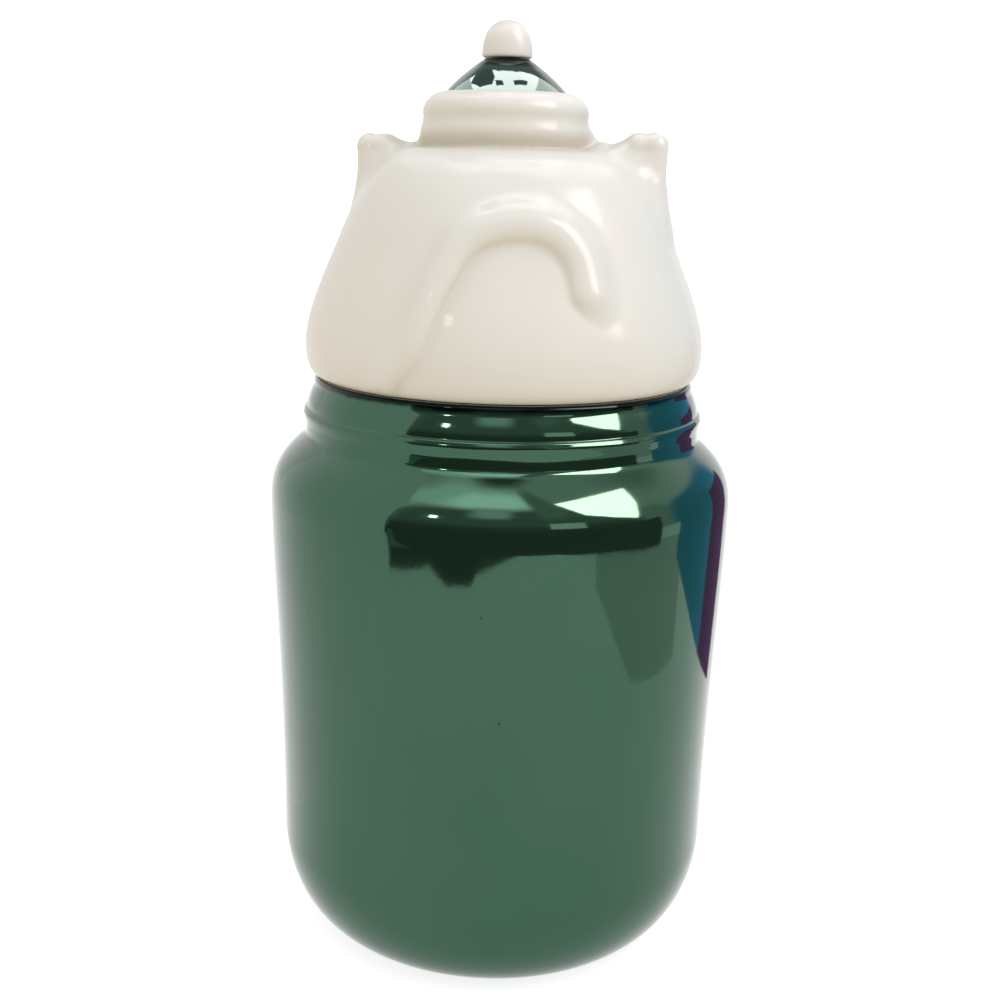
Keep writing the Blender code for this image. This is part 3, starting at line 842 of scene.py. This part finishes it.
class Nodes:
    """Short ways to build a material's nodes."""

    def __init__(self, name):
        self.material = bpy.data.materials.new(name)
        self.material.use_nodes = True
        self.tree = self.material.node_tree
        self.shader = self.tree.nodes["Principled BSDF"]
        self.place = self.add("ShaderNodeTexCoord").outputs["Object"]

    def add(self, kind, **settings):
        node = self.tree.nodes.new(kind)
        for key, value in settings.items():
            setattr(node, key, value)
        return node

    def feed(self, socket, value):
        """Link an output, or set a plain value."""
        if isinstance(value, bpy.types.NodeSocket):
            self.tree.links.new(value, socket)
        else:
            socket.default_value = value

    def math(self, operation, *values, clamp=False):
        node = self.add("ShaderNodeMath", operation=operation, use_clamp=clamp)
        for socket, value in zip(node.inputs, values):
            self.feed(socket, value)
        return node.outputs[0]

    def square(self, value):
        return self.math("MULTIPLY", value, value)

    def noise(self, scale, detail=3.0):
        node = self.add("ShaderNodeTexNoise")
        self.feed(node.inputs["Vector"], self.place)
        node.inputs["Scale"].default_value = scale
        node.inputs["Detail"].default_value = detail
        node.inputs["Roughness"].default_value = 0.5
        return node.outputs["Fac"]

    def range(self, value, low, high, out_low=0.0, out_high=1.0):
        """A value held between two limits and stretched onto two others."""
        node = self.add("ShaderNodeMapRange")
        for socket, number in zip(node.inputs, (value, low, high, out_low, out_high)):
            self.feed(socket, number)
        return node.outputs[0]

    def split(self):
        """The three coordinates on the object, in metres."""
        node = self.add("ShaderNodeSeparateXYZ")
        self.feed(node.inputs[0], self.place)
        return node.outputs

    def mix(self, factor, first, second):
        node = self.add("ShaderNodeMix", data_type="RGBA")
        self.feed(node.inputs[0], factor)
        for socket, colour in ((node.inputs[6], first), (node.inputs[7], second)):
            self.feed(socket, colour if isinstance(colour, bpy.types.NodeSocket) else (*colour, 1.0))
        return node.outputs[2]

    def bump(self, height, strength, distance):
        node = self.add("ShaderNodeBump")
        self.feed(node.inputs["Height"], height)
        node.inputs["Strength"].default_value = strength
        node.inputs["Distance"].default_value = distance
        return node.outputs[0]

    def finish(self, **sockets):
        for name, value in sockets.items():
            self.feed(self.shader.inputs[name.replace("_", " ")], value)
        return self.material


def pearl_glaze(name, base, deep, shade_band):
    """A dark green mirror-bright glaze with slow colour drift, a fine orange peel and rare pinholes.

    shade_band gives two heights in millimetres between which the colour darkens to near black, a painted
    shade band at the top.
    """
    n = Nodes(name)
    drift = n.range(n.noise(14.0, 2.0), 0.35, 0.65)
    colour = n.mix(drift, base, deep)
    pinholes = n.range(n.noise(420.0, 1.0), 0.80, 0.84)
    colour = n.mix(pinholes, colour, PINHOLE)
    # Painted shade band: near black above the given heights, with a ragged lower edge
    ragged = n.math("MULTIPLY", n.noise(120.0, 2.0), SHADE_BAND_RAGGED * MM)
    height = n.math("ADD", n.split()[2], ragged)
    colour = n.mix(n.range(height, shade_band[0] * MM, shade_band[1] * MM), colour, PAINTED_SHADE_GREEN)
    roughness = n.range(n.noise(60.0, 4.0), 0.3, 0.7, 0.045, 0.085)
    peel = n.math("ADD", n.noise(700.0, 1.0), n.math("MULTIPLY", n.noise(70.0, 1.0), 4.0))
    normal = n.bump(peel, strength=0.012, distance=0.0003)
    return n.finish(Base_Color=colour, Roughness=roughness, Metallic=0.9, Normal=normal)


def white_glaze(name, with_face=False):
    """A warm white gloss glaze, with painted shade that darkens it warmer in its creases and hollows."""
    n = Nodes(name)
    drift = n.range(n.noise(22.0, 3.0), 0.3, 0.7)
    colour = n.mix(drift, WHITE, WARM_WHITE)
    # Painted shade: ambient occlusion darkens the colour towards a warm brown in creases and hollows
    hollow = n.add("ShaderNodeAmbientOcclusion", samples=12, only_local=True)
    hollow.inputs["Distance"].default_value = 14.0 * MM
    colour = n.mix(n.range(hollow.outputs["AO"], 0.66, 0.97, 0.9, 0.0), colour, PAINTED_CREASE_SHADE)
    specks = n.range(n.noise(650.0, 1.0), 0.83, 0.86, 0.0, 0.6)
    colour = n.mix(specks, colour, SPECK)
    if with_face:
        colour = n.mix(face_paint(n), colour, PAINT)
    roughness = n.range(n.noise(45.0, 3.0), 0.3, 0.7, 0.30, 0.38)
    normal = n.bump(n.noise(110.0, 3.0), strength=0.08, distance=0.0004)
    n.shader.inputs["Specular IOR Level"].default_value = 0.1
    return n.finish(
        Base_Color=colour, Roughness=roughness, Normal=normal, IOR=1.45, Coat_Weight=0.16, Coat_Roughness=0.09
    )


def face_paint(n):
    """The mask of the painted closed eyes, nose tip and whiskers, the same on both sides."""
    place = n.split()
    across = n.math("ABSOLUTE", place[0])
    up = n.math("SUBTRACT", place[2], LID_REST * MM)
    dx = n.math("SUBTRACT", across, EYE_ACROSS * MM)
    dz = n.math("SUBTRACT", up, EYE_RISE * MM)
    ring = n.math("SQRT", n.math("ADD", n.square(dx), n.square(dz)))
    off = n.math("ABSOLUTE", n.math("SUBTRACT", ring, EYE_R * MM))
    eye = n.range(off, EYE_STROKE * MM * 0.8, EYE_STROKE * MM, 1.0, 0.0)
    lower = n.range(dz, EYE_LOWER[0] * EYE_R * MM, EYE_LOWER[1] * EYE_R * MM, 1.0, 0.0)
    mask = n.math("MULTIPLY", eye, lower)
    for start, rise, length, slope in WHISKERS:
        along = n.math("SUBTRACT", across, start * MM)
        bend = n.math("ADD", n.math("MULTIPLY", along, slope), rise * MM)
        off = n.math("ABSOLUTE", n.math("SUBTRACT", up, bend))
        line = n.range(off, WHISKER_STROKE * MM * 0.6, WHISKER_STROKE * MM, 1.0, 0.0)
        begun = n.range(along, 0.0, WHISKER_END * MM)
        ended = n.range(along, (length - WHISKER_END) * MM, length * MM, 1.0, 0.0)
        mask = n.math("MAXIMUM", mask, n.math("MULTIPLY", line, n.math("MULTIPLY", begun, ended)))
    (_, nose_rise), nose_half, _, _ = NOSE
    nose_x = n.math("DIVIDE", across, nose_half[0] * MM)
    nose_z = n.math("DIVIDE", n.math("SUBTRACT", up, nose_rise * MM), nose_half[2] * MM)
    nose = n.math("ADD", n.square(nose_x), n.square(nose_z))
    mask = n.math("MAXIMUM", mask, n.range(nose, 0.8, 1.0, 1.0, 0.0))
    front = n.math("GREATER_THAN", place[1], FACE_DEPTH * MM)
    return n.math("MULTIPLY", mask, front, clamp=True)


def bisque():
    """Bare fired clay, a little gritty."""
    n = Nodes("bare_clay")
    colour = n.mix(n.noise(300.0, 4.0), *CLAY)
    normal = n.bump(n.noise(1800.0, 3.0), strength=0.4, distance=0.0003)
    return n.finish(Base_Color=colour, Roughness=n.range(n.noise(500.0), 0.3, 0.7, 0.75, 0.9), Normal=normal)


def silicone():
    """Frosted soft ring."""
    n = Nodes("soft_ring")
    colour = n.mix(n.noise(80.0, 2.0), *SOFT_RING)
    normal = n.bump(n.noise(1500.0, 2.0), strength=0.2, distance=0.0002)
    return n.finish(Base_Color=colour, Roughness=n.range(n.noise(200.0), 0.3, 0.7, 0.45, 0.6), Normal=normal)


def sway(angle, height):
    """How far a cast jar's side strays from a true turned shape, in millimetres."""
    place = Vector((math.cos(angle) * SWAY_AROUND, math.sin(angle) * SWAY_AROUND, height / SWAY_HEIGHT))
    return SWAY * noise.noise(place)


def build_jar():
    """The jar, with green glaze outside, white glaze inside and a bare foot ring."""
    inside, outside, foot, underside = jar_inside(), jar_outside(), jar_foot(), jar_underside()
    slots = [1] * len(inside) + [0] * len(outside) + [2] * (len(foot) - 1) + [0] * len(underside)
    jar = turned("jar_glazed", inside + outside + foot + underside, slots=slots, sway=sway)
    jar.data.materials.append(pearl_glaze("green_pearl_glaze", JAR_GREEN, JAR_DEEP, JAR_SHADE_BAND))
    jar.data.materials.append(white_glaze("inside_glaze"))
    jar.data.materials.append(bisque())
    return jar


def build_lid():
    """The lid, on a field so that ears, tail and paws run into the head with cast fillets."""
    low = (-LID_REACH, -LID_REACH, PLUG_BOTTOM - FIELD_MARGIN)
    high = (LID_REACH, LID_REACH + PAW_REACH, BRIM_TOP + FIELD_MARGIN)
    verts, faces = surface_net(lid_field_maker(), low, high, FIELD_STEP)
    lid = new_object("lid_glazed", verts, faces)
    lid.data.materials.append(white_glaze("white_gloss_glaze", with_face=True))
    return lid


def build_hat():
    """The crown and the pompom."""
    crown = turned("crown_glazed", crown_section(), facets=CROWN_FACETS)
    crown.data.materials.append(pearl_glaze("crown_pearl_glaze", CROWN_GREEN, CROWN_DEEP, CROWN_SHADE_BAND))
    pompom = turned("pompom_glazed", pompom_section(), facets=POMPOM_FACETS)
    pompom.data.materials.append(white_glaze("pompom_gloss_glaze"))
    for piece in (crown, pompom):
        piece.data.transform(Matrix.Translation((HAT_SHIFT * MM, 0.0, 0.0)))
    return crown, pompom


def build_gasket():
    """The soft ring round the lid's plug."""
    gasket = turned("gasket_ring", gasket_section(), facets=GASKET_FACETS, closed=True)
    gasket.data.materials.append(silicone())
    return gasket


def dress():
    """Build every piece, hide the CAD node that it replaces, and hang it on the body that it moves with."""
    crown, pompom = build_hat()
    for piece, node, body, slot in (
        (build_jar(), "jar", "jar", "jar_glaze"),
        (build_lid(), "lid_shell", "lid", "white_glaze"),
        (build_gasket(), "lid_gasket", "seal", "gasket"),
        (crown, "hat_crown", "lid", "crown_glaze"),
        (pompom, "pompom", "lid", "pompom_glaze"),
    ):
        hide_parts(node)
        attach(piece, body)


# Studio, in metres, turned so that the camera sees the cat's back from 12 degrees to the right
STUDIO_TURN = Matrix.Rotation(TAIL_TURN, 4, "Z")
STUDIO_MIDDLE = (0.0, -0.05, 0.125)
LIGHTS_AIM = (0.0, 0.0, 0.17)
FLOOR_SIZE = 60.0
FLOOR_COLOUR = (0.50, 0.497, 0.50)
FLOOR_GLOW = 1.62
FLOOR_UNDERSIDE = (0.90, 0.78, 0.63)
SURROUND_GLOW = 1.02
WORLD_LIGHT = 0.74
WORLD_COLOUR = (1.0, 0.99, 0.96, 1.0)
KEY_AT = (62, 42, 1.1)
KEY_SIZE = (0.7, 0.6)
KEY_LIGHT = 2.2
KEY_COLOUR = (0.88, 0.98, 1.18)
TOP_AT = (0.0, -0.35, 1.0)
TOP_SIZE = (0.8, 0.8)
TOP_LIGHT = 0.6
TOP_COLOUR = (1.0, 0.99, 0.97)
DOME_RADIUS = 3.0
DOME_AZIMUTHS = range(-180, 180, 2)
DOME_ELEVATIONS = range(-6, 91, 2)
CAMERA_AT = (0.0, -0.3322, 0.1973)
CAMERA_PITCH = math.radians(14.083)
CAMERA_ROLL = math.radians(1.375)
CAMERA_LENS = 46.8
SENSOR = 36.0

# What shows in the glaze above the boards: middle, half width and half height in degrees, softness, colour
SKY = (1.10, 1.06, 1.08)
SKY_PATCHES = [
    ((-75, 50), (22, 13), 0.40, (1.8, 1.8, 1.85)),
    ((9, 24), (67, 24), 0.14, (0.32, 0.34, 0.34)),
    ((9, 4), (67, 15), 0.30, (0.13, 0.145, 0.14)),
    ((-24, 64), (50, 14), 0.30, (2.1, 2.15, 2.2)),
    ((-8, 63), (30, 10), 0.40, (3.2, 3.3, 3.4)),
    ((-5, 43), (11, 9), 0.45, (1.4, 1.45, 1.5)),
    ((30, 54), (9, 22), 0.30, (0.50, 0.55, 0.54)),
    ((0, 91), (181, 11), 0.12, (0.13, 0.145, 0.14)),
    ((84, 4), (9, 24), 0.20, (0.70, 0.70, 0.72)),
    ((118, 4), (26, 20), 0.15, (0.10, 0.45, 0.82)),
    ((180, 58), (75, 19), 0.30, (0.35, 0.40, 0.38)),
]

# Upright screens over a line on the floor: the line and the height in metres, colour
BOARD_LINE = [(-0.29, -0.25), (-0.10, -0.46), (0.0, -0.48), (0.20, -0.44), (0.37, -0.27), (0.45, -0.09)]
SCREENS = {
    "left_wall": ([(-0.10, 0.03), (-0.34, -0.27)], 0.5, (1.31, 1.24, 1.28)),
    "front_board": (BOARD_LINE, 0.20, (0.11, 0.125, 0.12)),
    "teal_board": ([(0.215, 0.093), (0.40, 0.0)], 0.18, (0.09, 0.42, 0.72)),
    "violet_board": ([(0.15, 0.13), (0.215, 0.093)], 0.15, (0.20, 0.08, 0.22)),
}

# Cards that face the jar: corners by azimuth and elevation, distance in metres, colour, light
WINDOW = [(40, 57), (62, 58), (98, 51), (84, 38), (77, 28), (72, 16), (61, 23), (47, 34), (43, 46)]
TABLE_THINGS = [
    (-57, -2), (-55, -11), (-50, -16), (-44, -17), (-38, -16), (-33, -19), (-27, -22), (-20, -23),
    (-13, -22), (-8, -19), (-3, -17), (2, -13), (8, -10), (14, -8), (22, -7), (42, -7), (52, -2),
    (52, 6), (-57, 6),
]
FAR_CARDS = {
    "window": (WINDOW, 2.8, (1.40, 1.0, 1.04), 13.0),
    "low_pane": ([(25, 15), (43, 13), (43, 22), (25, 24)], 2.8, (1.0, 0.97, 0.97), 1.7),
    "lamp": ([(-36.5, 28), (-33, 28), (-33, 32), (-36.5, 32)], 2.6, (1.0, 0.93, 0.82), 40.0),
    "table_things": (TABLE_THINGS, 0.33, (0.10, 0.115, 0.11), 1.0),
}
SHELF_CARDS = {
    "small_lamp": ([(-47, 1), (-45, 1), (-45, 3), (-47, 3)], 0.30, (1.0, 1.0, 1.0), 4.0),
    "side_shelf": ([(-56, -15), (-44, -15), (-44, 1), (-56, 1)], 0.31, (0.26, 0.34, 0.34), 1.0),
    "front_shelf": ([(-24, -17), (-8, -17), (-8, -5), (-24, -5)], 0.31, (0.50, 0.46, 0.42), 1.0),
}

# Level cards: outline and height in millimetres, colour
RIGHT_MAT = [(200, -100), (240, -250), (330, -340), (600, -420), (600, 50), (240, 0)]
SKYLIGHT = [
    (-60, -10), (-50, -34), (50, -34), (50, 50), (31, 28),
    (14, 15), (0, 13), (-14, 15), (-31, 30), (-60, 64),
]
SKYLIGHT_LEFT = [(-60, 64), (-60, -10), (-76, -10), (-110, 30), (-110, 140)]
SKYLIGHT_RIGHT = [(50, 50), (50, -20), (80, -10), (110, 40), (110, 140)]
BEAM = [(-60, 34), (-46, 0), (-25, -7), (-20, 7), (-25, 24), (-38, 46), (-53, 54)]
BEAM_GREEN = (0.24, 0.34, 0.30)
LEVEL_CARDS = {
    "right_mat": (RIGHT_MAT, 0.5, (0.90, 0.89, 0.90)),
    "skylight": (SKYLIGHT, 300, (8.2, 6.6, 7.2)),
    "skylight_left": (SKYLIGHT_LEFT, 300, (2.6, 2.5, 2.6)),
    "skylight_right": (SKYLIGHT_RIGHT, 300, (3.4, 3.0, 3.1)),
    "beam": (BEAM, 299, BEAM_GREEN),
    "left_hook": ([(-19, 0), (-8, -4), (-5, -14), (-18, -13)], 299, BEAM_GREEN),
    "right_hook": ([(9, -3), (20, 3), (33, 10), (32, -2), (13, -12)], 299, BEAM_GREEN),
}


def plain_material(name, colour, emission):
    """A matt stage colour with some light of its own."""
    material = bpy.data.materials.new(name)
    material.use_nodes = True
    shader = material.node_tree.nodes["Principled BSDF"]
    shader.inputs["Base Color"].default_value = (*colour, 1.0)
    shader.inputs["Roughness"].default_value = 0.9
    shader.inputs["Specular IOR Level"].default_value = 0.1
    shader.inputs["Emission Color"].default_value = (*colour, 1.0)
    shader.inputs["Emission Strength"].default_value = emission
    return material


def stage_object(name, verts, faces, material, seen_by):
    """A piece of the studio, seen only by the kinds of light path that it is there for."""
    mesh = bpy.data.meshes.new(name)
    mesh.from_pydata(verts, [], faces)
    obj = bpy.data.objects.new(name, mesh)
    bpy.context.scene.collection.objects.link(obj)
    mesh.materials.append(material)
    obj.visible_camera = "camera" in seen_by
    obj.visible_diffuse = "diffuse" in seen_by
    obj.visible_glossy = "glossy" in seen_by
    obj.visible_shadow = "shadow" in seen_by
    obj.matrix_world = STUDIO_TURN
    obj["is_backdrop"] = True
    return obj


def glow(name, colour, light):
    """A stage material that only gives light."""
    material = bpy.data.materials.new(name)
    material.use_nodes = True
    tree = material.node_tree
    tree.nodes.remove(tree.nodes["Principled BSDF"])
    emission = tree.nodes.new("ShaderNodeEmission")
    emission.inputs["Color"].default_value = (*colour, 1.0)
    emission.inputs["Strength"].default_value = light
    tree.links.new(emission.outputs[0], tree.nodes["Material Output"].inputs["Surface"])
    return material


def card(name, corners, colour, light=1.0):
    """A flat card or softbox that only shows in the glaze."""
    corners = [tuple(corner) for corner in corners]
    stage_object(name, corners, [tuple(range(len(corners)))], glow(name, colour, light), ("glossy",))


def screen(name, line, height, colour):
    """An upright screen over a line on the floor, that only shows in the glaze."""
    corners = [(x, y, z) for z in (0.0, height) for x, y in line]
    count = len(line)
    faces = [(i, i + 1, count + i + 1, count + i) for i in range(count - 1)]
    stage_object(name, corners, faces, glow(name, colour, 1.0), ("glossy",))


def toward(azimuth, elevation, distance):
    """A place seen from the jar's shoulder, with azimuth 0 towards the camera and 90 to the right."""
    a, e = math.radians(azimuth), math.radians(elevation)
    way = Vector((math.sin(a) * math.cos(e), -math.cos(a) * math.cos(e), math.sin(e)))
    return Vector(STUDIO_MIDDLE) + way * distance


def sky_colour(azimuth, elevation):
    """The brightness that the dome has in a direction, from its soft-edged patches."""
    colour = np.array(SKY)
    for (middle_a, middle_e), (half_a, half_e), soft, patch in SKY_PATCHES:
        off_a = abs((azimuth - middle_a + 180) % 360 - 180) / half_a
        off_e = abs(elevation - middle_e) / half_e
        off = (off_a ** 4 + off_e ** 4) ** 0.25
        share = min(1.0, max(0.0, (1 + soft - off) / (2 * soft)))
        share *= share * (3 - 2 * share)
        colour = colour * (1 - share) + np.array(patch) * share
    return colour


def build_dome():
    """The dome whose painted light shows in the glaze, and only there."""
    directions = [(azimuth, elevation) for elevation in DOME_ELEVATIONS for azimuth in DOME_AZIMUTHS]
    verts = [tuple(toward(*direction, DOME_RADIUS)) for direction in directions]
    count = len(DOME_AZIMUTHS)
    faces = []
    for row in range(len(DOME_ELEVATIONS) - 1):
        lower, upper = row * count, (row + 1) * count
        for i in range(count):
            onward = (i + 1) % count
            faces.append((lower + i, lower + onward, upper + onward, upper + i))
    material = glow("dome", (1.0, 1.0, 1.0), 1.0)
    tree = material.node_tree
    paint = tree.nodes.new("ShaderNodeAttribute")
    paint.attribute_name = "paint"
    tree.links.new(paint.outputs["Color"], tree.nodes["Emission"].inputs["Color"])
    dome = stage_object("dome", verts, faces, material, ("glossy",))
    colours = dome.data.color_attributes.new("paint", "FLOAT_COLOR", "POINT")
    values = [(*sky_colour(*direction), 1.0) for direction in directions]
    colours.data.foreach_set("color", np.array(values, np.float32).ravel())


def far_card(name, directions, distance, colour, light):
    """A card whose corners are given by azimuth and elevation."""
    card(name, [toward(azimuth, elevation, distance) for azimuth, elevation in directions], colour, light)


def level_card(name, outline, height, colour):
    """A level card with its outline and height in millimetres, that only shows in the glaze."""
    card(name, [(x * MM, y * MM, height * MM) for x, y in outline], colour)


def area_light(name, place, size, radiance, colour):
    """A soft light that points at the canister and doesn't show in the glaze."""
    data = bpy.data.lights.new(name, "AREA")
    data.shape = "RECTANGLE"
    data.size, data.size_y = size
    data.energy = radiance * math.pi * size[0] * size[1]
    data.color = colour
    light = bpy.data.objects.new(name, data)
    bpy.context.scene.collection.objects.link(light)
    place = STUDIO_TURN @ Vector(place)
    light.location = place
    light.rotation_euler = (Vector(LIGHTS_AIM) - place).to_track_quat("-Z", "Y").to_euler()
    light.visible_camera = False
    light.visible_glossy = False


def build_studio():
    """World, white surround, pale floor, soft lights, and what shows in the glaze."""
    world = bpy.data.worlds.new("studio")
    bpy.context.scene.world = world
    world.use_nodes = True
    background = world.node_tree.nodes["Background"]
    background.inputs["Color"].default_value = WORLD_COLOUR
    background.inputs["Strength"].default_value = WORLD_LIGHT

    half = FLOOR_SIZE / 2
    square = [(-half, -half, 0.0), (half, -half, 0.0), (half, half, 0.0), (-half, half, 0.0)]
    floor = plain_material("floor", FLOOR_COLOUR, FLOOR_GLOW)
    stage_object("floor", square, [(0, 1, 2, 3)], floor, ("camera", "glossy", "shadow"))
    below = [(x, y, -MM) for x, y, _ in square]
    underside = glow("floor_light", FLOOR_UNDERSIDE, 1.0)
    stage_object("floor_light", below, [(0, 1, 2, 3)], underside, ("diffuse",))
    top = [(x, y, half) for x, y, _ in square]
    sides = [(0, 1, 5, 4), (1, 2, 6, 5), (2, 3, 7, 6), (3, 0, 4, 7), (4, 5, 6, 7)]
    white = plain_material("surround", (1.0, 1.0, 1.0), SURROUND_GLOW)
    stage_object("surround", square + top, sides, white, ("camera",))

    area_light("key", toward(*KEY_AT), KEY_SIZE, KEY_LIGHT, KEY_COLOUR)
    area_light("top", TOP_AT, TOP_SIZE, TOP_LIGHT, TOP_COLOUR)

    build_dome()
    for name, parts in SCREENS.items():
        screen(name, *parts)
    for name, parts in FAR_CARDS.items():
        far_card(name, *parts)
    for name, parts in LEVEL_CARDS.items():
        level_card(name, *parts)
    for name, parts in SHELF_CARDS.items():
        far_card(name, *parts)


def build_camera():
    """The photograph's view."""
    data = bpy.data.cameras.new("camera")
    data.sensor_fit = "HORIZONTAL"
    data.sensor_width = SENSOR
    data.lens = CAMERA_LENS
    data.clip_start = 0.01
    camera = bpy.data.objects.new("camera", data)
    bpy.context.scene.collection.objects.link(camera)
    tilt = Matrix.Rotation(math.pi / 2 - CAMERA_PITCH, 4, "X")
    roll = Matrix.Rotation(CAMERA_ROLL, 4, "Z")
    camera.matrix_world = STUDIO_TURN @ Matrix.Translation(CAMERA_AT) @ tilt @ roll
    bpy.context.scene.camera = camera
    bpy.context.scene.view_settings.view_transform = "Standard"


build_camera()
build_studio()
dress()

boxes = {"cad": CAD_BOX, "visual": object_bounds()}
{name: [[float(v) for v in corner] for corner in box] for name, box in boxes.items()}
